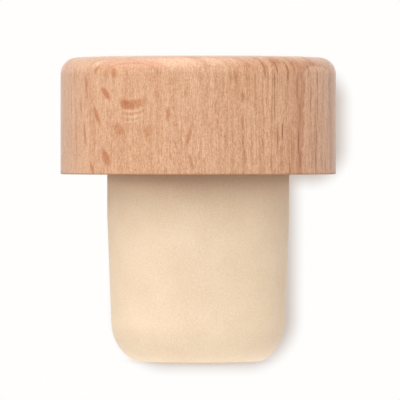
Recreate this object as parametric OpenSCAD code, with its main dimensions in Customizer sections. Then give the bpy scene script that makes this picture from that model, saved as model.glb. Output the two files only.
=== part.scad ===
// Bottle stopper: a turned wooden head glued onto a tapered shank of foamed synthetic cork.
// The frame is upright: the shank's flat end stands on z = 0, centred on the origin, and +Z points
// to the top of the head. The bottle's rim meets the head's underside at z = shank_l.

/* [Head] */
// Diameter of the head
head_d = 29.5; // [25:0.5:40]
// Height of the head, from its underside to the top face
head_h = 12.6; // [9:0.2:20]
// Radius of the rounded top edge
top_edge_r = 1.8; // [0.6:0.1:3]
// Width of the band of the top face that eases down to the rounded edge
brow_w = 3; // [1:0.5:6]
// Slope that the easing band has reached at the rounded edge, in degrees
brow_slope = 4; // [1:0.5:8]
// Width of the bevel that breaks the lower edge
lower_bevel = 0.15; // [0.05:0.05:0.5]

/* [Shank] */
// Diameter of the straight land that seals the bottle's mouth
land_d = 19.5; // [17:0.1:21]
// Length of the straight land below the head
land_l = 4.5; // [2:0.2:8]
// Length of the shank below the head
shank_l = 20; // [16:0.5:32]
// Taper of each side below the land, in degrees
taper = 2.2; // [0.5:0.1:4]
// Radius of the rounded nose
nose_r = 4.8; // [3:0.1:6]
// Angle through which the nose curves in before the edge of the flat end, in degrees
nose_sweep = 56; // [40:1:80]
// Radius of the edge between the nose and the flat end
end_edge_r = 1.2; // [0.4:0.1:2]

/* [Glued seat] */
// Depth of the blind seat that takes the shank into the head
seat_depth = 5; // [3:0.2:7]
// How far the seat squeezes the soft shank in, on the radius
seat_squeeze = 0.2; // [0.05:0.05:0.3]
// Thickness of the glue between the shank and the seat's wall
glue_gap = 0.05; // [0.02:0.01:0.15]
// How far the bevelled mouth of the seat clears the shank's land
mouth_clearance = 0.1; // [0.05:0.05:0.4]
// Bevel on the shank's glued end
glued_end_bevel = 0.5; // [0.2:0.1:1]

/* [Hidden] */
$fn = 96;

// Half sizes and heights that both outlines share
head_r = head_d / 2;
land_r = land_d / 2;
top_z = shank_l + head_h;

// Head: the rounded edge is centred at [edge_c, edge_z], and the easing band is one long arc
// that leaves the flat middle level and meets the rounded edge at brow_slope.
edge_c = head_r - top_edge_r;
flat_r = edge_c - brow_w;
brow_r = top_edge_r + brow_w / sin(brow_slope);
edge_z = top_z - brow_r + (brow_r - top_edge_r) * cos(brow_slope);

// Seat: the bore in the head, and the shank's end that it squeezes
seat_r = land_r - seat_squeeze;
mouth_r = land_r + mouth_clearance;
glued_r = seat_r - glue_gap;
glued_top_z = shank_l + seat_depth;

// Shank: the edge arc of the flat end sits inside the nose arc and touches it at nose_sweep, and
// the nose arc meets the taper at a tangent.
nose_z = end_edge_r + (nose_r - end_edge_r) * sin(nose_sweep);
taper_end_z = nose_z - nose_r * sin(taper);
taper_end_r = land_r - (shank_l - land_l - taper_end_z) * tan(taper);
nose_c = taper_end_r - nose_r * cos(taper);
end_flat_r = nose_c + (nose_r - end_edge_r) * cos(nose_sweep);

// How far each round stretch stands past its neighbour, so that the two cross cleanly and no
// sliver is left where they touch
lap = 0.005;

// A slice of a disc between two angles
module disc_slice(centre, r, from, to) {
    reach = 1.2 * r / cos((to - from) / 2);
    intersection() {
        translate(centre) circle(r);
        polygon([
            centre,
            centre + reach * [cos(from), sin(from)],
            centre + reach * [cos((from + to) / 2), sin((from + to) / 2)],
            centre + reach * [cos(to), sin(to)]
        ]);
    }
}

// Half of the head's section, before the seat is bored
module head_outline() {
    intersection() {
        translate([0, shank_l]) square([head_r, head_h]);
        union() {
            polygon([
                [0, shank_l],
                [head_r - lower_bevel, shank_l],
                [head_r, shank_l + lower_bevel],
                [head_r, edge_z],
                [edge_c - top_edge_r / 3, edge_z + top_edge_r / 3],
                [flat_r, top_z],
                [0, top_z]
            ]);
            translate([edge_c, edge_z]) circle(top_edge_r + 2 * lap);
            disc_slice([flat_r, top_z - brow_r], brow_r + lap, 90 - brow_slope, 90 + brow_slope);
        }
    }
}

// Half of the shank's section, from its flat end to its glued end inside the head
module shank_outline() {
    polygon([
        [0, 0],
        [end_flat_r, 0],
        [end_flat_r + end_edge_r / 3, end_edge_r],
        [taper_end_r, taper_end_z],
        [land_r, shank_l - land_l],
        [land_r, shank_l],
        [glued_r, shank_l],
        [glued_r, glued_top_z - glued_end_bevel],
        [glued_r - glued_end_bevel, glued_top_z],
        [0, glued_top_z]
    ]);
    disc_slice([nose_c, nose_z], nose_r + lap, -nose_sweep, 30);
    intersection() {
        translate([end_flat_r, end_edge_r]) circle(end_edge_r + 2 * lap);
        square([land_r, shank_l]);
    }
}

// Section of the seat's space, with its bevelled mouth, run on 1 mm below the head
module seat_outline() {
    polygon([
        [0, shank_l - 1],
        [mouth_r + 1, shank_l - 1],
        [seat_r, shank_l + mouth_r - seat_r],
        [seat_r, glued_top_z],
        [0, glued_top_z]
    ]);
}

// Turned wooden head, with the blind seat in its underside
module head() {
    color("burlywood")
        difference() {
            rotate_extrude() head_outline();
            rotate_extrude() seat_outline();
        }
}

// Moulded shank of foamed synthetic cork
module shank() {
    color("wheat") rotate_extrude() shank_outline();
}

head();
shank();
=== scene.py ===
"""Dresses a bottle stopper: a turned beech head glued onto a moulded shank of foamed synthetic cork.

Sizes in the classes are in millimetres and degrees, or in metres where their notes say so. The meshes are
in metres, upright, with the shank's flat end on z = 0 and +Z along the turning axis. An azimuth of 0 faces
the front, -Y, and grows towards +X.
"""

import logging
import math
from dataclasses import dataclass, field
from enum import Enum

import bpy
import numpy as np
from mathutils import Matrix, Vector


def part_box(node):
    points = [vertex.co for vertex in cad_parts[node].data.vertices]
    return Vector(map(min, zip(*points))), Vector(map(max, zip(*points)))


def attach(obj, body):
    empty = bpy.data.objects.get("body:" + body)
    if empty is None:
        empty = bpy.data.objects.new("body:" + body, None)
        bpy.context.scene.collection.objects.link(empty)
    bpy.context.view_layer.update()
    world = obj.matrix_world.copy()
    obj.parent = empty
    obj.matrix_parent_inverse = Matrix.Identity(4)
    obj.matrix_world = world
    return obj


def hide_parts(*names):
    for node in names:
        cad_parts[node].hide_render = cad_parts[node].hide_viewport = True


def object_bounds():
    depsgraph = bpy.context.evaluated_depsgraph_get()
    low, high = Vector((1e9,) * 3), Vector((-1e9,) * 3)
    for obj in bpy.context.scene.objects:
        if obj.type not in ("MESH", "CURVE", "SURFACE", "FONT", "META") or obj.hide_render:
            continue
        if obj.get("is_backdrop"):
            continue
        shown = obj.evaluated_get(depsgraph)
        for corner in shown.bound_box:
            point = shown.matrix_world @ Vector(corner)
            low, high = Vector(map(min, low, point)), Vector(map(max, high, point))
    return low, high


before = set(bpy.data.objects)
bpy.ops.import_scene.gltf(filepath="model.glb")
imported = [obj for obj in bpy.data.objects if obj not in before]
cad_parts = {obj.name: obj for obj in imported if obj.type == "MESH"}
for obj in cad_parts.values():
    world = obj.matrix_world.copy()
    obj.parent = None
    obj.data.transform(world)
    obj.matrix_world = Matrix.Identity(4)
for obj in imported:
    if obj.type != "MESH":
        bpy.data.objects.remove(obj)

MM = 0.001
# Points of an outline that are closer than this many millimetres are one point
SAME_POINT = 1e-6
# A Mix node has sockets for several kinds of value: these are its factor, its two colours and its result
MIX_FACTOR, MIX_A, MIX_B, MIX_RESULT = 0, 6, 7, 2
SHEEN_ROUGHNESS = 0.4
BUMP_STRENGTH = 0.5

Pair = tuple[float, float]
Triple = tuple[float, float, float]
Colour = tuple[float, float, float, float]
Socket = bpy.types.NodeSocket

log = logging.getLogger("stopper")


class Node(str, Enum):
    """The two glued pieces, by their names in the frame."""

    HEAD = "head"
    SHANK = "shank"


class FleckTone(Enum):
    """How a ray shows: warm where its side is bared, dark where it is cut end on, or pale."""

    SIDE = 1
    END = 2
    PALE = 3


# ---------------------------------------------------------------------------------------------------------
# Turned surfaces
# ---------------------------------------------------------------------------------------------------------


@dataclass
class Outline:
    """Half of a turned piece's section, drawn run by run as points (radius, height) in millimetres."""

    runs: list[np.ndarray] = field(default_factory=list)

    def straight(self, start: Pair, end: Pair, spans: int) -> "Outline":
        """Adds a straight run, whose points crowd towards both ends so that shading stays true there.

        A point is start + (end - start) * s, with s = (1 - cos(pi k / spans)) / 2.

        Args:
            start: The run's first point.
            end: The run's last point.
            spans: How many pieces the run is cut into.

        Returns:
            The outline itself.
        """
        s = (1 - np.cos(np.pi * np.arange(spans + 1) / spans)) / 2
        a, b = np.array(start, float), np.array(end, float)
        self.runs.append(a + (b - a) * s[:, None])
        return self

    def arc(self, centre: Pair, radius: float, start: float, end: float, spans: int) -> "Outline":
        """Adds an arc: centre + radius * (cos w, sin w), with w going from start to end in equal steps.

        Args:
            centre: The arc's centre.
            radius: The arc's radius.
            start: The angle of its first point, in degrees.
            end: The angle of its last point, in degrees.
            spans: How many pieces the arc is cut into.

        Returns:
            The outline itself.
        """
        w = np.radians(np.linspace(start, end, spans + 1))
        self.runs.append(np.array(centre, float) + radius * np.stack([np.cos(w), np.sin(w)], 1))
        return self

    def points(self) -> np.ndarray:
        """Joins the runs.

        Returns:
            All points as one array (n, 2), without those that two runs share.
        """
        all_points = np.concatenate(self.runs)
        step = np.linalg.norm(np.diff(all_points, axis=0), axis=1)
        return all_points[np.concatenate([[True], step > SAME_POINT])]


@dataclass
class TurnedPiece:
    """A piece turned on a lathe: an outline swept once round the Z axis."""

    node: Node
    slot: str
    name: str
    turns: int = 320

    def outline(self) -> Outline:
        """Draws the section from the axis at the top, round the outside, back to the axis."""
        raise NotImplementedError

    def mesh(self) -> bpy.types.Mesh:
        """Sweeps the outline into a closed mesh.

        A vertex is (r cos a, r sin a, z), where (r, z) follows the outline and a goes round in equal steps.
        The outline's two ends lie on the axis, where each is one vertex with a fan of triangles.

        Returns:
            The mesh, in metres, with its faces outwards.
        """
        profile = self.outline().points() * MM
        rings = profile[1:-1]
        a = 2 * np.pi * np.arange(self.turns) / self.turns
        r, z = rings[:, 0, None], rings[:, 1, None]
        grid = np.stack([r * np.cos(a), r * np.sin(a), z + 0 * a], -1).reshape(-1, 3)
        ends = [[0, 0, profile[0, 1]], [0, 0, profile[-1, 1]]]
        vertices = np.concatenate([grid, ends])
        count, turns = len(rings), self.turns
        here = np.arange(turns)
        after = (here + 1) % turns
        row = turns * np.arange(count - 1)[:, None]
        under = row + turns
        quads = np.stack([row + here, under + here, under + after, row + after], -1).reshape(-1, 4)
        last = turns * (count - 1)
        top_fan = np.stack([np.full(turns, count * turns), here, after], -1)
        end_fan = np.stack([np.full(turns, count * turns + 1), last + after, last + here], -1)
        mesh = bpy.data.meshes.new(self.name)
        mesh.from_pydata(vertices.tolist(), [], quads.tolist() + top_fan.tolist() + end_fan.tolist())
        mesh.polygons.foreach_set("use_smooth", np.ones(len(mesh.polygons), bool))
        mesh.update()
        return mesh

    def build(self, material: bpy.types.Material) -> bpy.types.Object:
        """Makes the piece's object, dresses it and puts it in place of its node in the frame.

        Args:
            material: The finish of the whole piece.

        Returns:
            The new object, at the origin.
        """
        piece = bpy.data.objects.new(self.name, self.mesh())
        bpy.context.scene.collection.objects.link(piece)
        piece.data.materials.append(material)
        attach(piece, "root")
        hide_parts(self.node.value)
        log.info("%s: %d faces, finish %s", piece.name, len(piece.data.polygons), material.name)
        return piece


@dataclass
class BeechHead(TurnedPiece):
    """The turned head: a disc with a rounded top edge and a blind seat for the shank in its underside."""

    node: Node = Node.HEAD
    slot: str = "beech"
    name: str = "beech_head"
    top_edge_r: float = 1.8
    brow_w: float = 3.0
    brow_slope: float = 4.0
    lower_edge_r: float = 0.15
    seat_r: float = 9.55
    mouth_r: float = 9.85

    def outline(self) -> Outline:
        """Draws the head's section: a level middle, an easing brow, the rounded edge, the wall and the seat.

        The brow is one long arc that leaves the middle level and meets the rounded edge at brow_slope.

        Returns:
            The outline, in millimetres.
        """
        low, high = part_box(Node.HEAD.value)
        seat_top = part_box(Node.SHANK.value)[1].z / MM
        r, under, top = high.x / MM, low.z / MM, high.z / MM
        edge_c = r - self.top_edge_r
        flat_r = edge_c - self.brow_w
        slope = math.radians(self.brow_slope)
        brow_r = self.top_edge_r + self.brow_w / math.sin(slope)
        edge_z = top - brow_r + (brow_r - self.top_edge_r) * math.cos(slope)
        steep, small = 90 - self.brow_slope, self.lower_edge_r
        mouth_z = under + self.mouth_r - self.seat_r
        return (
            Outline()
            .straight((0, top), (flat_r, top), spans=14)
            .arc((flat_r, top - brow_r), brow_r, 90, steep, spans=10)
            .arc((edge_c, edge_z), self.top_edge_r, steep, 0, spans=26)
            .straight((r, edge_z), (r, under + small), spans=20)
            .arc((r - small, under + small), small, 0, -90, spans=5)
            .straight((r - small, under), (self.mouth_r, under), spans=12)
            .straight((self.mouth_r, under), (self.seat_r, mouth_z), spans=2)
            .straight((self.seat_r, mouth_z), (self.seat_r, seat_top), spans=4)
            .straight((self.seat_r, seat_top), (0, seat_top), spans=4)
        )


@dataclass
class CorkShank(TurnedPiece):
    """The moulded shank: a sealing land, a slow taper, a rounded nose and a flat end."""

    node: Node = Node.SHANK
    slot: str = "foamed_cork"
    name: str = "cork_shank"
    land_l: float = 4.5
    taper: float = 2.2
    nose_r: float = 4.8
    nose_sweep: float = 56.0
    end_edge_r: float = 1.2
    glued_r: float = 9.5
    glued_bevel: float = 0.5

    def outline(self) -> Outline:
        """Draws the shank's section, from its glued end down to its flat end.

        The edge arc of the flat end lies inside the nose arc and touches it at nose_sweep, and the nose arc
        meets the taper at a tangent.

        Returns:
            The outline, in millimetres.
        """
        low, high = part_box(Node.SHANK.value)
        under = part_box(Node.HEAD.value)[0].z / MM
        land_r, end, top = high.x / MM, low.z / MM, high.z / MM
        taper, sweep = math.radians(self.taper), math.radians(self.nose_sweep)
        nose_z = end + self.end_edge_r + (self.nose_r - self.end_edge_r) * math.sin(sweep)
        taper_z = nose_z - self.nose_r * math.sin(taper)
        taper_r = land_r - (under - self.land_l - taper_z) * math.tan(taper)
        nose_c = taper_r - self.nose_r * math.cos(taper)
        flat_r = nose_c + (self.nose_r - self.end_edge_r) * math.cos(sweep)
        bevel_r, bevel_z = self.glued_r - self.glued_bevel, top - self.glued_bevel
        return (
            Outline()
            .straight((0, top), (bevel_r, top), spans=4)
            .straight((bevel_r, top), (self.glued_r, bevel_z), spans=2)
            .straight((self.glued_r, bevel_z), (self.glued_r, under), spans=4)
            .straight((self.glued_r, under), (land_r, under), spans=2)
            .straight((land_r, under), (land_r, under - self.land_l), spans=12)
            .straight((land_r, under - self.land_l), (taper_r, taper_z), spans=24)
            .arc((nose_c, nose_z), self.nose_r, -self.taper, -self.nose_sweep, spans=24)
            .arc((flat_r, end + self.end_edge_r), self.end_edge_r, -self.nose_sweep, -90, spans=10)
            .straight((flat_r, end), (0, end), spans=12)
        )


# ---------------------------------------------------------------------------------------------------------
# Finishes
# ---------------------------------------------------------------------------------------------------------


def tint(red: float, green: float, blue: float) -> Colour:
    """Turns a display colour from 0 to 255 into a linear one.

    Args:
        red: The red share.
        green: The green share.
        blue: The blue share.

    Returns:
        The linear colour with an alpha of 1.
    """
    share = np.array([red, green, blue]) / 255
    linear = np.where(share <= 0.04045, share / 12.92, ((share + 0.055) / 1.055) ** 2.4)
    return (*linear.tolist(), 1.0)


@dataclass(frozen=True)
class Ramp:
    """How a number is carried from one range to another, held at both ends.

    Args:
        low: Where the change starts.
        high: Where it ends.
        start: What low becomes.
        end: What high becomes.
        smooth: Whether the change is eased at both ends.
    """

    low: float
    high: float
    start: float = 0.0
    end: float = 1.0
    smooth: bool = False


@dataclass(frozen=True)
class Grain:
    """One noise in a material.

    Args:
        rate: How often it changes in a millimetre, along each of the three directions.
        detail: How many finer layers it has.
        roughness: How strong those layers are.
        share: Its weight where noises are added.
    """

    rate: Triple
    detail: float = 1.0
    roughness: float = 0.5
    share: float = 1.0


class Shading:
    """The node tree of one material, with short ways to add nodes and join them."""

    def __init__(self, name: str) -> None:
        """Starts a material that holds only its output and a Principled shader.

        Args:
            name: The material's name.
        """
        self.material = bpy.data.materials.new(name)
        self.material.use_nodes = True
        self.tree = self.material.node_tree
        self.tree.nodes.clear()
        self.output = self.node("ShaderNodeOutputMaterial")
        self.shader = self.node("ShaderNodeBsdfPrincipled")
        self.join(self.shader.outputs["BSDF"], self.output.inputs["Surface"])

    def join(self, start: Socket, end: Socket) -> None:
        """Links one socket to another."""
        self.tree.links.new(start, end)

    def feed(self, socket: Socket, value: object) -> None:
        """Gives a socket a link or a plain value.

        Args:
            socket: The input socket.
            value: The output socket that it is linked to, or its plain value.
        """
        if isinstance(value, Socket):
            self.join(value, socket)
        else:
            socket.default_value = value

    def node(self, kind: str, settings: dict | None = None, **sockets: object) -> bpy.types.Node:
        """Adds a node.

        Args:
            kind: The node's type name.
            settings: Its properties, such as an operation.
            sockets: What its input sockets get, by their names with _ for a space.

        Returns:
            The new node.
        """
        node = self.tree.nodes.new(kind)
        for key, value in (settings or {}).items():
            setattr(node, key, value)
        for key, value in sockets.items():
            self.feed(node.inputs[key.replace("_", " ")], value)
        return node

    def sums(self, operation: str, a: object, b: object = 0.0) -> Socket:
        """Works out one operation on numbers.

        Args:
            operation: The operation's name.
            a: The first number or its socket.
            b: The second one, where the operation has two.

        Returns:
            The result's socket.
        """
        node = self.node("ShaderNodeMath", {"operation": operation})
        self.feed(node.inputs[0], a)
        self.feed(node.inputs[1], b)
        return node.outputs[0]

    def vectors(self, operation: str, a: object, b: object = (0, 0, 0)) -> Socket:
        """Works out one operation on vectors.

        Args:
            operation: The operation's name.
            a: The first vector or its socket.
            b: The second one, where the operation has two.

        Returns:
            The result's socket.
        """
        node = self.node("ShaderNodeVectorMath", {"operation": operation})
        self.feed(node.inputs[0], a)
        self.feed(node.inputs[1], b)
        return node.outputs["Value" if operation == "LENGTH" else "Vector"]

    def place(self) -> Socket:
        """Returns the socket of the object's own coordinates, in millimetres."""
        return self.vectors("DIVIDE", self.node("ShaderNodeTexCoord").outputs["Object"], (MM, MM, MM))

    def part(self, vector: Socket, axis: str) -> Socket:
        """Returns the socket of one of a vector's numbers, X, Y or Z."""
        return self.node("ShaderNodeSeparateXYZ", Vector=vector).outputs[axis]

    def placed(self, vector: Socket, kind: str, **sockets: object) -> Socket:
        """Moves, turns and scales a vector with a Mapping node of that kind and returns its socket."""
        return self.node("ShaderNodeMapping", {"vector_type": kind}, Vector=vector, **sockets).outputs[0]

    def noise(self, place: Socket, grain: Grain, output: str = "Fac") -> Socket:
        """Adds a noise.

        Args:
            place: The socket of the place, in millimetres.
            grain: The noise.
            output: Fac for one number or Color for three.

        Returns:
            The socket of its value, from 0 to 1.
        """
        at = self.vectors("MULTIPLY", place, grain.rate)
        settings = {"noise_dimensions": "3D"}
        sockets = {"Vector": at, "Scale": 1.0, "Detail": grain.detail, "Roughness": grain.roughness}
        return self.node("ShaderNodeTexNoise", settings, **sockets).outputs[output]

    def remap(self, value: Socket, ramp: Ramp) -> Socket:
        """Carries a number from one range to another.

        Args:
            value: The number's socket.
            ramp: The two ranges.

        Returns:
            The result's socket.
        """
        easing = "SMOOTHSTEP" if ramp.smooth else "LINEAR"
        node = self.node("ShaderNodeMapRange", {"interpolation_type": easing}, Value=value)
        node.inputs["From Min"].default_value = ramp.low
        node.inputs["From Max"].default_value = ramp.high
        node.inputs["To Min"].default_value = ramp.start
        node.inputs["To Max"].default_value = ramp.end
        return node.outputs["Result"]

    def blend(self, factor: Socket, a: object, b: object, kind: str = "MIX") -> Socket:
        """Blends two colours.

        Args:
            factor: How much of the second colour is used.
            a: The first colour.
            b: The second colour.
            kind: The blend's type, such as MIX or MULTIPLY.

        Returns:
            The result's socket.
        """
        node = self.node("ShaderNodeMix", {"data_type": "RGBA", "blend_type": kind})
        self.feed(node.inputs[MIX_FACTOR], factor)
        self.feed(node.inputs[MIX_A], a)
        self.feed(node.inputs[MIX_B], b)
        return node.outputs[MIX_RESULT]

    def mixed(self, factor: Socket, first: Socket, second: Socket) -> Socket:
        """Mixes two shaders.

        Args:
            factor: How much of the second one shows.
            first: The first shader.
            second: The second shader.

        Returns:
            The result's socket.
        """
        node = self.node("ShaderNodeMixShader")
        for socket, value in zip(node.inputs, (factor, first, second)):
            self.join(value, socket)
        return node.outputs[0]

    def show_from_front(self, hidden: Socket, shown: Socket) -> None:
        """Ends a material that the camera sees from the front only.

        Args:
            hidden: The shader for every ray but the camera's.
            shown: The shader for the camera's rays. From behind, they pass through.
        """
        clear = self.node("ShaderNodeBsdfTransparent").outputs[0]
        behind = self.node("ShaderNodeNewGeometry").outputs["Backfacing"]
        camera_ray = self.node("ShaderNodeLightPath").outputs["Is Camera Ray"]
        surface = self.mixed(camera_ray, hidden, self.mixed(behind, shown, clear))
        self.join(surface, self.output.inputs["Surface"])

    def dress(self, colour: Socket, roughness: object, sheen: float, height: Socket, relief: float) -> None:
        """Gives the shader its colour, roughness, sheen and relief.

        Args:
            colour: The socket of the base colour.
            roughness: The roughness or its socket.
            sheen: How much sheen lies over the colour.
            height: The socket of the relief's height, from 0 to 1.
            relief: How high the relief is, in millimetres.
        """
        inputs = self.shader.inputs
        self.feed(inputs["Base Color"], colour)
        self.feed(inputs["Roughness"], roughness)
        inputs["Sheen Weight"].default_value = sheen
        inputs["Sheen Roughness"].default_value = SHEEN_ROUGHNESS
        bump = self.node("ShaderNodeBump", Strength=BUMP_STRENGTH, Distance=relief * MM, Height=height)
        self.join(bump.outputs["Normal"], inputs["Normal"])


@dataclass(frozen=True)
class RayFleck:
    """One ray of the beech where it meets the head's surface: a thin upright sheet towards the pith.

    Args:
        azimuth: Where on the wall it shows, in degrees.
        height: The height of its middle.
        thick: Its thickness.
        tall: Its height from tip to tip.
        deep: Its length along the ray.
        lean: How far it leans out of upright, in degrees.
        strength: How strongly it shows, from 0 to 1.
        tone: Whether its side shows or its end, or whether it is pale.
        inset: How far its middle lies inside the wall.
    """

    azimuth: float
    height: float
    thick: float
    tall: float
    deep: float = 4.0
    lean: float = 0.0
    strength: float = 0.6
    tone: FleckTone = FleckTone.SIDE
    inset: float = 0.0


@dataclass(frozen=True)
class EndFleck(RayFleck):
    """A single ray that is cut end on."""

    tone: FleckTone = FleckTone.END


@dataclass(frozen=True)
class RayScatter:
    """Rays scattered through the whole wood, one in each cell of a stretched Voronoi pattern.

    Args:
        cell: The size of a cell.
        half: The half sizes of a ray.
        shift: How far the pattern is moved, which picks another scatter.
        fade: How a ray fades with its distance from its middle, in half sizes.
        chance: How strongly a cell's ray shows, by the cell's random number.
    """

    cell: Triple
    half: Triple
    shift: float
    fade: Ramp = Ramp(0.4, 1.0, 1.0, 0.0, smooth=True)
    chance: Ramp = Ramp(0.15, 0.9)


@dataclass(frozen=True)
class WoodPlace:
    """The sockets that say where a point lies in the wood.

    Args:
        wavy: Its place along the rays, across them and up the fibres, strayed as the fibres stray.
        calm: The same, strayed less, for the rays whose shape is wanted.
        outward: How far it lies along the rays, away from the pith.
        facing: How far the surface faces up, from -1 to 1.
    """

    wavy: Socket
    calm: Socket
    outward: Socket
    facing: Socket


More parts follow.
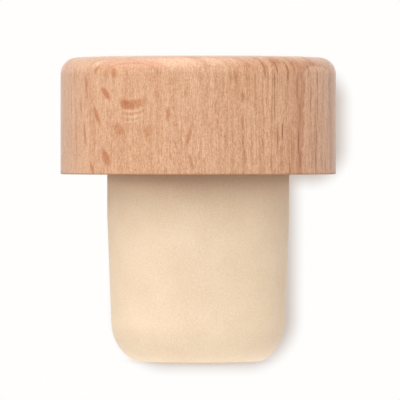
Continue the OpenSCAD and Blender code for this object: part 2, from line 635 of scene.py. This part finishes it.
@dataclass(frozen=True)
class BeechFinish:
    """Beech under a thin clear satin finish, as a solid figure that every cut of the piece runs through.

    The wood's own coordinates are millimetres along its rays, across them and up its fibres.

    Args:
        name: The material's name.
        ray_azimuth: The azimuth that the rays point at, away from the pith.
        pith: How far the pith lies from the turning axis.
        ring_w: The width of a growth ring.
        ring_edge: How far from the turning axis one ring ends.
        late_rise: How late in a ring its dark wood starts, as a power.
        pale: The palest plain wood.
        deep: The deepest plain wood.
        late: The dark wood at a ring's end.
        ray: What multiplies the colour where a ray's side is bared.
        ray_end: What multiplies it where a single ray is cut end on.
        line: What multiplies it at the thin rays and lines.
        pale_ray: The colour of a pale ray.
        end_grain_and_top_shade: What multiplies the colour where the wood faces up: the darker end grain, and
            painted shade on the top and the rounded edge.
        under: The colour of the underside.
        ragged: The noise that strays the fibres.
        wave: How far it strays them.
        calm_wave: How far it strays the rays whose shape is wanted.
        fine: The fibres.
        speck: The short pores between them.
        streak: The long streaks.
        patch: The slow patches.
        drift: The noise that makes the rings uneven.
        bands: The wide rays that show where the wood faces up.
        lines: The long thin rays that show where they are cut end on.
        broad: The broad scattered rays.
        thin: The thin scattered rays.
        ground_tone: From deep to pale, by the noises' sum.
        late_depth: How dark a ring's end is, by outward.
        broad_up: How strongly the broad rays show, by facing.
        band_depth: How strongly the bands show, by their noise.
        band_up: How strongly they show, by facing.
        line_depth: How strongly the lines show, by their noise.
        cut_end: How strongly thin rays and lines show, by outward either way.
        end_grain_and_shade_facing: Where the wood counts as end grain and takes the painted shade of the top,
            by facing.
        down: How strongly the underside's colour covers, by facing.
        fleck_core: How far out from its middle a single ray keeps its strength, in half sizes.
        roughness: The finish's roughness, by the fibres.
        gloss: The strength of its reflections.
        sheen: How much sheen lies over the colour.
        relief: How high the fibres stand.
    """

    name: str = "beech_satin"
    ray_azimuth: float = 61.0
    pith: float = 60.0
    ring_w: float = 2.6
    ring_edge: float = 14.5
    late_rise: float = 8.0
    pale: Colour = tint(236, 191, 154)
    deep: Colour = tint(190, 129, 88)
    late: Colour = tint(178, 104, 56)
    ray: Colour = (0.76, 0.5, 0.3, 1.0)
    ray_end: Colour = (0.57, 0.31, 0.08, 1.0)
    line: Colour = (0.66, 0.45, 0.28, 1.0)
    pale_ray: Colour = tint(240, 204, 170)
    # Darkens the faces that look up: partly end grain, partly painted shade on the top and the rounded edge
    end_grain_and_top_shade: Colour = (0.89, 0.9, 0.86, 1.0)
    under: Colour = tint(240, 165, 105)
    ragged: Grain = Grain((1.4, 1.4, 0.9), detail=3)
    wave: Triple = (0.2, 0.12, 0.5)
    calm_wave: Triple = (0.12, 0.06, 0.18)
    fine: Grain = Grain((10.0, 10.0, 1.4), 3, 0.7, 0.46)
    speck: Grain = Grain((8.5, 8.5, 5.0), 2, 0.75, 0.42)
    streak: Grain = Grain((3.0, 3.0, 0.16), 2, 0.55, 0.18)
    patch: Grain = Grain((0.3, 0.3, 0.12), share=0.08)
    drift: Grain = Grain((0.08, 0.12, 0.03), share=0.2)
    bands: Grain = Grain((0.1, 0.92, 0.3))
    lines: Grain = Grain((4.5, 4.5, 0.12))
    broad: RayScatter = RayScatter((7.0, 1.3, 3.2), (4.5, 0.09, 1.3), 3.7)
    thin: RayScatter = RayScatter((3.0, 0.55, 1.5), (2.0, 0.055, 0.6), 11.3)
    ground_tone: Ramp = Ramp(0.45, 0.7)
    late_depth: Ramp = Ramp(11.0, 14.0, 0.12, 0.55)
    broad_up: Ramp = Ramp(0.1, 0.7, 0.45, 1.0)
    band_depth: Ramp = Ramp(0.47, 0.62, 0.0, 0.7)
    band_up: Ramp = Ramp(0.1, 0.55)
    line_depth: Ramp = Ramp(0.52, 0.68, 0.0, 0.5)
    cut_end: Ramp = Ramp(7.5, 12.5, 0.2, 1.0)
    end_grain_and_shade_facing: Ramp = Ramp(0.1, 0.75)
    down: Ramp = Ramp(-0.9, -0.5, 0.85, 0.0)
    fleck_core: float = 0.45
    roughness: Ramp = Ramp(0.3, 0.7, 0.42, 0.3)
    gloss: float = 0.85
    sheen: float = 0.18
    relief: float = 0.03

    @property
    def wall_r(self) -> float:
        """Returns the radius of the head's wall, which the single rays are placed on."""
        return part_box(Node.HEAD.value)[1].x / MM

    def flecks(self) -> tuple[RayFleck, ...]:
        """Returns the rays that show one by one on the front of the wall and its rounded edge."""
        pale = FleckTone.PALE
        return (
            # The arch where one sheet comes out through the rounded edge, and its left foot
            RayFleck(-29.0, 31.0, 0.42, 3.6, 8.6, 0, 1.0, inset=0.38),
            RayFleck(-37.3, 30.7, 0.22, 1.9, 1.1, 5, 0.8),
            RayFleck(-18.3, 30.2, 0.3, 1.7, 1.4, 0, 0.25),
            RayFleck(-17.2, 28.5, 0.36, 1.9, 1.2, 0, 0.25),
            # The bowl, darker at its left end, and the faint bows below it
            RayFleck(-27.6, 27.4, 0.3, 4.4, 4.4, 13, 0.65),
            RayFleck(-31.0, 27.4, 0.3, 4.4, 2.2, 13, 0.9),
            RayFleck(-27.6, 26.7, 0.07, 3.0, 4.2, 13, 0.3, pale),
            RayFleck(-27.6, 26.4, 0.06, 3.0, 3.6, 13, 0.4),
            RayFleck(-27.6, 26.1, 0.08, 3.0, 4.0, 13, 0.3, pale),
            RayFleck(-27.6, 25.6, 0.07, 3.0, 2.8, 13, 0.35, pale),
            RayFleck(-34.5, 24.7, 0.4, 3.2, 1.7, 13, 0.6),
            RayFleck(-20.5, 24.6, 0.4, 3.2, 1.9, 13, 0.45),
            # Slanting flecks to the left, where the wall turns away from the rays
            RayFleck(-41.5, 28.6, 0.32, 2.2, 2.0, 13, 0.95),
            RayFleck(-46.7, 26.3, 0.28, 3.0, 2.0, 9, 0.95),
            RayFleck(-41.5, 21.8, 0.38, 2.6, 2.2, 8, 0.85),
            RayFleck(-49.5, 20.6, 0.28, 2.0, 1.7, 8, 0.85),
            RayFleck(-47.5, 31.3, 0.26, 2.0, 2.4, 0, 0.85),
            RayFleck(-53.5, 29.5, 0.22, 3.2, 1.8, 4, 0.6),
            RayFleck(-57.5, 27.2, 0.2, 1.8, 1.4, 4, 0.75),
            RayFleck(-48.5, 25.5, 0.5, 13.0, 2.4, 0, 0.25),
            RayFleck(-61.5, 24.0, 0.22, 6.0, 1.6, 2, 0.5),
            RayFleck(-66.0, 28.0, 0.22, 5.0, 1.6, 0, 0.45),
            RayFleck(-71.0, 22.5, 0.24, 5.5, 1.8, 0, 0.5),
            RayFleck(-54.5, 24.4, 0.23, 3.8, 1.8, 4, 0.8),
            # Faint ones near the middle
            RayFleck(-12.4, 26.4, 0.2, 2.3, 0.9, 2, 0.65),
            RayFleck(-5.0, 28.8, 0.2, 1.4, 1.8, 6, 0.5),
            RayFleck(-3.8, 24.0, 0.2, 2.6, 1.8, 6, 0.75),
            RayFleck(-3.0, 21.4, 0.2, 2.2, 1.4, -6, 0.7),
            RayFleck(7.2, 27.0, 0.18, 2.0, 1.8, 3, 0.4),
            RayFleck(8.0, 25.4, 0.18, 1.8, 1.8, 3, 0.6),
            # Dashes to the right, where the rays come out end on
            EndFleck(15.5, 30.3, 0.24, 1.9, strength=0.5, lean=-6),
            EndFleck(18.5, 28.3, 0.26, 1.8, strength=0.65),
            EndFleck(18.5, 25.5, 0.24, 2.2, strength=0.45),
            EndFleck(18.5, 23.7, 0.22, 2.0, strength=0.4),
            EndFleck(19.5, 22.0, 0.24, 2.3, strength=0.4, lean=-6),
            EndFleck(24.0, 29.6, 0.2, 2.8, strength=0.5),
            EndFleck(27.5, 22.8, 0.22, 1.8, strength=0.35),
            EndFleck(28.5, 31.2, 0.3, 2.6, strength=0.7, deep=7.0),
            EndFleck(31.5, 21.2, 0.28, 2.6, strength=0.55),
            EndFleck(33.0, 29.9, 0.26, 2.4, strength=0.65),
            EndFleck(33.0, 27.4, 0.26, 4.4, strength=0.5),
            EndFleck(34.5, 24.0, 0.26, 2.8, strength=0.5),
            EndFleck(34.5, 31.5, 0.28, 2.4, strength=0.65, deep=7.0),
            EndFleck(37.0, 24.6, 0.26, 2.4, strength=0.85),
            EndFleck(36.0, 22.6, 0.22, 1.9, strength=0.35),
            EndFleck(40.0, 30.9, 0.34, 2.9, strength=0.85, deep=7.0),
            EndFleck(41.0, 20.6, 0.28, 1.9, strength=0.65),
            EndFleck(43.8, 31.4, 0.28, 2.2, strength=0.6, deep=7.0),
            EndFleck(45.0, 29.2, 0.3, 3.8, strength=0.6),
            EndFleck(47.0, 26.4, 0.28, 4.0, strength=0.55),
            EndFleck(46.0, 23.6, 0.3, 3.8, strength=0.75),
            EndFleck(47.0, 21.6, 0.3, 2.6, strength=0.65),
            EndFleck(52.5, 31.2, 0.3, 2.4, strength=0.75, deep=7.0),
            EndFleck(54.0, 28.2, 0.24, 4.0, strength=0.6),
            EndFleck(59.0, 30.0, 0.26, 2.8, strength=0.85),
            EndFleck(59.0, 27.0, 0.26, 4.8, strength=0.65),
            EndFleck(58.5, 23.9, 0.28, 2.8, strength=0.75),
            EndFleck(57.5, 21.6, 0.26, 3.8, strength=0.8),
            EndFleck(66.5, 21.0, 0.22, 2.6, strength=0.75),
            EndFleck(69.5, 25.3, 0.22, 3.0, strength=0.6),
        )

    def fleck_mask(self, s: Shading, wood: Socket, tone: FleckTone) -> Socket:
        """Works out where the single rays of one tone show.

        Each ray is a spindle with the half sizes deep / 2, thick / 2 and tall / 2, turned by its lean. A
        point is inside it where its offset from the middle, divided by those half sizes, is shorter than 1.

        Args:
            s: The material's node tree.
            wood: The socket of the wood's own coordinates.
            tone: Which rays are drawn.

        Returns:
            The mask's socket, from 0 to 1.
        """
        mask = 0.0
        for fleck in (f for f in self.flecks() if f.tone is tone):
            way, r = math.radians(fleck.azimuth - self.ray_azimuth), self.wall_r - fleck.inset
            middle = (r * math.cos(way), r * math.sin(way), fleck.height)
            half = (fleck.deep / 2, fleck.thick / 2, fleck.tall / 2)
            lean = (-math.radians(fleck.lean), 0, 0)
            offset = s.placed(wood, "TEXTURE", Location=middle, Rotation=lean, Scale=half)
            fade = Ramp(self.fleck_core, 1.0, fleck.strength, 0.0, smooth=True)
            mask = s.sums("MAXIMUM", s.remap(s.vectors("LENGTH", offset), fade), mask)
        return mask

    def scatter_mask(self, s: Shading, wood: Socket, scatter: RayScatter) -> Socket:
        """Works out where scattered rays show.

        A point is inside a ray where its offset from the cell's own point, divided by the ray's half sizes,
        is shorter than 1. The cell's random colour sets how strongly its ray shows.

        Args:
            s: The material's node tree.
            wood: The socket of the wood's own coordinates.
            scatter: The rays.

        Returns:
            The mask's socket, from 0 to 1.
        """
        moved = s.vectors("ADD", wood, (scatter.shift,) * 3)
        spread = s.vectors("DIVIDE", moved, scatter.cell)
        settings = {"feature": "F1"}
        cells = s.node("ShaderNodeTexVoronoi", settings, Vector=spread, Scale=1.0, Randomness=1.0)
        offset = s.vectors("SUBTRACT", spread, cells.outputs["Position"])
        stretch = tuple(c / h for c, h in zip(scatter.cell, scatter.half))
        near = s.vectors("LENGTH", s.vectors("MULTIPLY", offset, stretch))
        chance = s.node("ShaderNodeSeparateColor", Color=cells.outputs["Color"]).outputs["Red"]
        return s.sums("MULTIPLY", s.remap(near, scatter.fade), s.remap(chance, scatter.chance))

    def place(self, s: Shading) -> WoodPlace:
        """Turns the object's coordinates into the wood's own, whose first axis points at ray_azimuth.

        Args:
            s: The material's node tree.

        Returns:
            Where a point lies in the wood.
        """
        coordinates = s.node("ShaderNodeTexCoord").outputs
        turn = (0, 0, math.radians(90 - self.ray_azimuth))
        straight = s.placed(coordinates["Object"], "POINT", Rotation=turn, Scale=(1 / MM,) * 3)
        stray = s.vectors("SUBTRACT", s.noise(straight, self.ragged, "Color"), (0.5, 0.5, 0.5))
        wavy = s.vectors("ADD", straight, s.vectors("MULTIPLY", stray, self.wave))
        calm = s.vectors("ADD", straight, s.vectors("MULTIPLY", stray, self.calm_wave))
        return WoodPlace(wavy, calm, s.part(straight, "X"), s.part(coordinates["Normal"], "Z"))

    def ground(self, s: Shading, at: WoodPlace, fine: Socket) -> Socket:
        """Colours the plain wood: its noises are added by their shares and run from deep to pale.

        Args:
            s: The material's node tree.
            at: Where a point lies in the wood.
            fine: The socket of the fibres' noise.

        Returns:
            The colour's socket.
        """
        light = s.sums("MULTIPLY", fine, self.fine.share)
        for grain in (self.speck, self.streak, self.patch):
            light = s.sums("ADD", light, s.sums("MULTIPLY", s.noise(at.wavy, grain), grain.share))
        return s.blend(s.remap(light, self.ground_tone), self.deep, self.pale)

    def rings(self, s: Shading, at: WoodPlace, colour: Socket) -> Socket:
        """Darkens the late wood at the end of each growth ring.

        A ring's count is n = (distance from the pith - pith - ring_edge) / ring_w + drift. The late wood's
        share is the fraction of n to the power late_rise, times late_depth.

        Args:
            s: The material's node tree.
            at: Where a point lies in the wood.
            colour: The socket of the colour so far.

        Returns:
            The new colour's socket.
        """
        from_pith = s.vectors("MULTIPLY", s.vectors("ADD", at.wavy, (self.pith, 0, 0)), (1, 1, 0))
        past = s.sums("SUBTRACT", s.vectors("LENGTH", from_pith), self.pith + self.ring_edge)
        uneven = s.sums("SUBTRACT", s.noise(at.wavy, self.drift), 0.5)
        uneven = s.sums("MULTIPLY", uneven, self.drift.share)
        count = s.sums("ADD", s.sums("DIVIDE", past, self.ring_w), uneven)
        late = s.sums("POWER", s.sums("FRACT", count), self.late_rise)
        late = s.sums("MULTIPLY", late, s.remap(at.outward, self.late_depth))
        return s.blend(late, colour, self.late)

    def rays(self, s: Shading, at: WoodPlace, colour: Socket) -> Socket:
        """Draws the rays: broad ones along their side, thin ones cut end on, and the single ones.

        Args:
            s: The material's node tree.
            at: Where a point lies in the wood.
            colour: The socket of the colour so far.

        Returns:
            The new colour's socket.
        """
        broad = self.scatter_mask(s, at.wavy, self.broad)
        thin = self.scatter_mask(s, at.wavy, self.thin)
        broad = s.sums("MULTIPLY", broad, s.remap(at.facing, self.broad_up))
        bands = s.remap(s.noise(at.wavy, self.bands), self.band_depth)
        bands = s.sums("MULTIPLY", bands, s.remap(at.facing, self.band_up))
        side = s.sums("MAXIMUM", broad, bands)
        side = s.sums("MAXIMUM", side, self.fleck_mask(s, at.calm, FleckTone.SIDE))
        colour = s.blend(side, colour, self.ray, "MULTIPLY")
        lines = s.remap(s.noise(at.wavy, self.lines), self.line_depth)
        cut_end = s.remap(s.sums("ABSOLUTE", at.outward), self.cut_end)
        thin = s.sums("MULTIPLY", s.sums("MAXIMUM", thin, lines), cut_end)
        colour = s.blend(thin, colour, self.line, "MULTIPLY")
        colour = s.blend(self.fleck_mask(s, at.wavy, FleckTone.END), colour, self.ray_end, "MULTIPLY")
        return s.blend(self.fleck_mask(s, at.calm, FleckTone.PALE), colour, self.pale_ray)

    def build(self) -> bpy.types.Material:
        """Builds the material: plain wood, growth rings and rays, then gloss and relief.

        Returns:
            The material.
        """
        s = Shading(self.name)
        at = self.place(s)
        fine = s.noise(at.wavy, self.fine)
        colour = self.rings(s, at, self.ground(s, at, fine))
        colour = self.rays(s, at, colour)
        # Faces that look up get darker: partly end grain, partly painted shade on the top and the rounded
        # edge
        colour = s.blend(s.remap(at.facing, self.end_grain_and_shade_facing), colour, self.end_grain_and_top_shade, "MULTIPLY")
        colour = s.blend(s.remap(at.facing, self.down), colour, self.under)
        s.dress(colour, s.remap(fine, self.roughness), self.sheen, fine, self.relief)
        s.shader.inputs["Specular IOR Level"].default_value = self.gloss
        return s.material


@dataclass(frozen=True)
class FoamedCorkFinish:
    """A closed-cell elastomer foam with a matte, fine-grained moulded skin.

    Args:
        name: The material's name.
        skin: The lighter colour of the skin.
        shade: Its darker colour.
        cells: The fine cells.
        patch: The slow uneven patches.
        tone: From shade to skin, by the noises' sum.
        roughness: The skin's roughness.
        sheen: How much sheen lies over the colour.
        relief: How high the cells stand.
    """

    name: str = "foamed_cork_skin"
    skin: Colour = tint(242, 218, 189)
    shade: Colour = tint(232, 205, 173)
    cells: Grain = Grain((6.5, 6.5, 6.5), 2, 0.6, 0.65)
    patch: Grain = Grain((0.3, 0.3, 0.3), share=0.25)
    tone: Ramp = Ramp(0.34, 0.56)
    roughness: float = 0.7
    sheen: float = 0.15
    relief: float = 0.04

    def build(self) -> bpy.types.Material:
        """Builds the material: fine cells in the skin's colour and relief, over slow uneven patches.

        Returns:
            The material.
        """
        s = Shading(self.name)
        place = s.place()
        cells = s.noise(place, self.cells)
        patch = s.noise(place, self.patch)
        mottle = s.sums("MULTIPLY", cells, self.cells.share)
        mottle = s.sums("ADD", mottle, s.sums("MULTIPLY", patch, self.patch.share))
        colour = s.blend(s.remap(mottle, self.tone), self.shade, self.skin)
        s.dress(colour, self.roughness, self.sheen, cells, self.relief)
        return s.material


# ---------------------------------------------------------------------------------------------------------
# Studio
# ---------------------------------------------------------------------------------------------------------


@dataclass(frozen=True)
class SoftLamp:
    """A square soft box.

    Args:
        name: The lamp's name.
        azimuth: Where it stands round the object, in degrees.
        elevation: How high it stands, in degrees.
        distance: How far it is from the object, in metres.
        size: The side of its square, in metres.
        level: How brightly it lights a white face that looks at it, where 1 renders white.
        diffuse: Whether it lights the colour of a face.
        glossy: Whether it shows in a face's gloss.
    """

    name: str
    azimuth: float
    elevation: float
    distance: float
    size: float
    level: float
    diffuse: bool = True
    glossy: bool = True

    def build(self, middle: Vector) -> bpy.types.Object:
        """Places the lamp and turns it to the object.

        A square lamp of side w and power P lights a face at distance d with about P / (pi d d), and a white
        face then sends out 1 / pi of that.

        Args:
            middle: The point that it lights.

        Returns:
            The lamp's object.
        """
        light = bpy.data.lights.new(self.name, "AREA")
        light.shape = "SQUARE"
        light.size = self.size
        light.energy = self.level * math.pi * math.pi * self.distance**2
        lamp = bpy.data.objects.new(self.name, light)
        a, e = math.radians(self.azimuth), math.radians(self.elevation)
        way = Vector((math.sin(a) * math.cos(e), -math.cos(a) * math.cos(e), math.sin(e)))
        lamp.location = middle + way * self.distance
        lamp.rotation_euler = way.to_track_quat("Z", "Y").to_euler()
        lamp.visible_camera = False
        lamp.visible_diffuse = self.diffuse
        lamp.visible_glossy = self.glossy
        bpy.context.scene.collection.objects.link(lamp)
        log.info("%s at %.0f round and %.0f up", self.name, self.azimuth, self.elevation)
        return lamp


@dataclass(frozen=True)
class ShadowBox:
    """A rounded box that a soft shadow on the backdrop is made of.

    Args:
        left: Its left side.
        right: Its right side.
        low: Its lower side.
        high: Its upper side.
        corner: The radius of its corners.
    """

    left: float
    right: float
    low: float
    high: float
    corner: float


@dataclass
class Studio:
    """A pale floor, a white surround, a white backdrop with a soft shadow, and soft lamps.

    Args:
        floor_w: The floor's width, in metres.
        floor_drop: How far the floor lies below the flat end.
        surround: How brightly the surround lights the object.
        white: The surround's and the backdrop's colour.
        floor_light: How brightly the floor lights the object.
        foot_glow: What the floor adds to that, by the distance from the foot.
        nose_glow: What it adds round the nose, by the same distance.
        foot_shade: How strongly the floor's own shade shows, by the distance in reaches.
        foot_reach: The shade's reach to the sides and to the front and back.
        floor_roughness: The floor's roughness.
        card_w: The backdrop's width.
        card_y: How far it stands behind the object.
        shadow: The colour of a full shadow, on the backdrop and at the foot.
        shadow_in: How far inside its rim a shadow is full.
        shadow_out: How far outside its rim it reaches.
        shadow_boxes: The shadows of the head and of the shank.
        lamps: The soft lamps.
    """

    floor_w: float = 8.0
    floor_drop: float = 0.02
    surround: float = 0.62
    white: Colour = tint(255, 254, 252)
    floor_light: float = 0.38
    foot_glow: Ramp = Ramp(0.0, 30.0, 0.25, 0.0, smooth=True)
    nose_glow: Ramp = Ramp(16 / 3, 16.0, 0.53, 0.0, smooth=True)
    foot_shade: Ramp = Ramp(0.25, 1.0, 0.7, 0.0, smooth=True)
    foot_reach: Pair = (9.0, 22.0)
    floor_roughness: float = 0.9
    card_w: float = 90.0
    card_y: float = 200.0
    shadow: Colour = (0.57, 0.48, 0.43, 1.0)
    shadow_in: float = 0.8
    shadow_out: float = 2.6
    shadow_boxes: tuple[ShadowBox, ...] = (
        ShadowBox(left=-7.0, right=18.7, low=19.0, high=32.3, corner=3.7),
        ShadowBox(left=-10.0, right=12.0, low=-6.1, high=25.0, corner=5.8),
    )
    lamps: tuple[SoftLamp, ...] = (
        SoftLamp("key_box", -7, 30, 0.9, 0.8, 0.68, glossy=False),
        SoftLamp("top_box", 0, 58, 0.9, 0.7, 0.04),
        SoftLamp("over_box", -80, 72, 0.9, 1.2, 1.3, diffuse=False),
        SoftLamp("side_box", -90, 45, 0.9, 0.6, 0.2, glossy=False),
        SoftLamp("left_box", -80, 4, 0.9, 0.35, 0.26, glossy=False),
        SoftLamp("right_box", 80, 2, 0.9, 0.6, 0.28, glossy=False),
        SoftLamp("back_box", 175, 18, 0.9, 0.8, 0.4, glossy=False),
    )

    def build_world(self) -> None:
        """Makes the surround: white where the camera or a gloss sees it, and dimmer as light."""
        scene = bpy.context.scene
        scene.world = bpy.data.worlds.new("surround")
        scene.world.use_nodes = True
        tree = scene.world.node_tree
        background = tree.nodes["Background"]
        path = tree.nodes.new("ShaderNodeLightPath")
        level = tree.nodes.new("ShaderNodeMapRange")
        either = tree.nodes.new("ShaderNodeMath")
        either.operation = "MAXIMUM"
        tree.links.new(path.outputs["Is Camera Ray"], either.inputs[0])
        tree.links.new(path.outputs["Is Glossy Ray"], either.inputs[1])
        tree.links.new(either.outputs[0], level.inputs["Value"])
        level.inputs["To Min"].default_value = self.surround
        level.inputs["To Max"].default_value = 1.0
        background.inputs["Color"].default_value = self.white
        tree.links.new(level.outputs["Result"], background.inputs["Strength"])

    @staticmethod
    def build_card(name: str, ring: list[Triple], material: bpy.types.Material) -> bpy.types.Object:
        """Makes a flat stage piece.

        Args:
            name: The piece's name.
            ring: Its four corners in metres, anticlockwise as its front is seen.
            material: Its material.

        Returns:
            The new object, at the origin.
        """
        mesh = bpy.data.meshes.new(name)
        mesh.from_pydata(ring, [], [(0, 1, 2, 3)])
        card = bpy.data.objects.new(name, mesh)
        bpy.context.scene.collection.objects.link(card)
        card.data.materials.append(material)
        return card

    def build_floor(self) -> bpy.types.Object:
        """Makes the floor, a hair below the stopper's flat end.

        It lights the object from below. The camera sees it only where it carries the shade at the foot.

        Returns:
            The floor's object.
        """
        half, z = self.floor_w / 2, -self.floor_drop * MM
        s = Shading("floor_white")
        place = s.place()
        away = s.vectors("LENGTH", place)
        glow = s.sums("ADD", s.remap(away, self.foot_glow), s.remap(away, self.nose_glow))
        given = s.node("ShaderNodeEmission", Strength=s.sums("ADD", glow, self.floor_light))
        s.shader.inputs["Base Color"].default_value = self.shadow
        s.shader.inputs["Roughness"].default_value = self.floor_roughness
        reaches = s.vectors("LENGTH", s.vectors("DIVIDE", place, (*self.foot_reach, 1.0)))
        clear = s.node("ShaderNodeBsdfTransparent").outputs[0]
        shaded = s.mixed(s.remap(reaches, self.foot_shade), clear, s.shader.outputs[0])
        s.show_from_front(given.outputs[0], shaded)
        ring = [(-half, -half, z), (half, -half, z), (half, half, z), (-half, half, z)]
        floor = self.build_card("floor", ring, s.material)
        floor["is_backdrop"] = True
        return floor

    def soft_shadow(self, s: Shading, place: Socket) -> Socket:
        """Works out how much light the soft shadow on the backdrop leaves.

        A point's distance from a box with corners of radius r is the length of its offset from the middle,
        taken positive, past the half sizes less r, and less r again. The light comes back over that distance,
        from shadow_in inside the rim to shadow_out outside, and the boxes' shares of light are multiplied.

        Args:
            s: The material's node tree.
            place: The socket of the place on the surface, whose third number isn't used.

        Returns:
            The light's socket, from 0 to 1.
        """
        lit = 1.0
        for box in self.shadow_boxes:
            r = box.corner
            middle = ((box.left + box.right) / 2, (box.low + box.high) / 2, 0)
            inner = ((box.right - box.left) / 2 - r, (box.high - box.low) / 2 - r, 0)
            offset = s.vectors("ABSOLUTE", s.vectors("SUBTRACT", place, middle))
            past = s.vectors("MAXIMUM", s.vectors("SUBTRACT", offset, inner), (0, 0, 0))
            away = s.vectors("LENGTH", s.vectors("MULTIPLY", past, (1, 1, 0)))
            fade = Ramp(r - self.shadow_in, r + self.shadow_out, smooth=True)
            lit = s.sums("MULTIPLY", s.remap(away, fade), lit)
        return lit

    def build_backdrop(self) -> bpy.types.Object:
        """Makes the white card behind the stopper, which shows the soft shadow at its right and under it.

        Returns:
            The card's object.
        """
        half, y = self.card_w / 2 * MM, self.card_y * MM
        s = Shading("backdrop_white")
        place = s.place()
        flat = s.node("ShaderNodeCombineXYZ", X=s.part(place, "X"), Y=s.part(place, "Z"))
        lit = self.soft_shadow(s, flat.outputs[0])
        shown = s.node("ShaderNodeEmission", Color=s.blend(lit, self.shadow, self.white), Strength=1.0)
        clear = s.node("ShaderNodeBsdfTransparent").outputs[0]
        s.show_from_front(clear, shown.outputs[0])
        ring = [(-half, y, -half), (half, y, -half), (half, y, half), (-half, y, half)]
        card = self.build_card("backdrop", ring, s.material)
        card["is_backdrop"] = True
        return card

    def build(self, middle: Vector) -> None:
        """Builds the surround, the floor, the backdrop and the lamps.

        Args:
            middle: The point that the lamps look at.
        """
        self.build_world()
        self.build_floor()
        self.build_backdrop()
        for lamp in self.lamps:
            lamp.build(middle)


@dataclass
class LongLens:
    """A camera far off in front of the stopper, a little above its middle.

    Args:
        distance: How far in front of the turning axis it stands.
        side: How far to the right of it.
        height: Its height.
        look_height: The height that it looks at.
        lens: Its focal length.
        sensor: The width of its sensor.
        clip_start: How near it still sees, in metres.
    """

    distance: float = 750.0
    side: float = 0.19
    height: float = 23.82
    look_height: float = 17.23
    lens: float = 630.0
    sensor: float = 36.0
    clip_start: float = 0.01

    def build(self) -> bpy.types.Object:
        """Places the camera, turns it to the stopper and makes it the scene's.

        Returns:
            The camera's object.
        """
        data = bpy.data.cameras.new("long_lens")
        data.lens = self.lens
        data.sensor_width = self.sensor
        data.clip_start = self.clip_start
        camera = bpy.data.objects.new("long_lens", data)
        camera.location = Vector((self.side, -self.distance, self.height)) * MM
        aim = Vector((self.side, 0, self.look_height)) * MM
        camera.rotation_euler = (aim - camera.location).to_track_quat("-Z", "Y").to_euler()
        bpy.context.scene.collection.objects.link(camera)
        bpy.context.scene.camera = camera
        log.info("camera %.0f mm away", self.distance)
        return camera


def main() -> None:
    """Builds the stopper, the studio and the camera."""
    logging.basicConfig(level=logging.INFO, format="%(message)s")
    bpy.context.scene.view_settings.view_transform = "Standard"
    cad_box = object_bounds()
    LongLens().build()
    head = BeechHead().build(BeechFinish().build())
    shank = CorkShank().build(FoamedCorkFinish().build())
    Studio().build((cad_box[0] + cad_box[1]) / 2)
    log.info("pieces: %s on %s", head.name, shank.name)


if __name__ == "__main__":
    main()
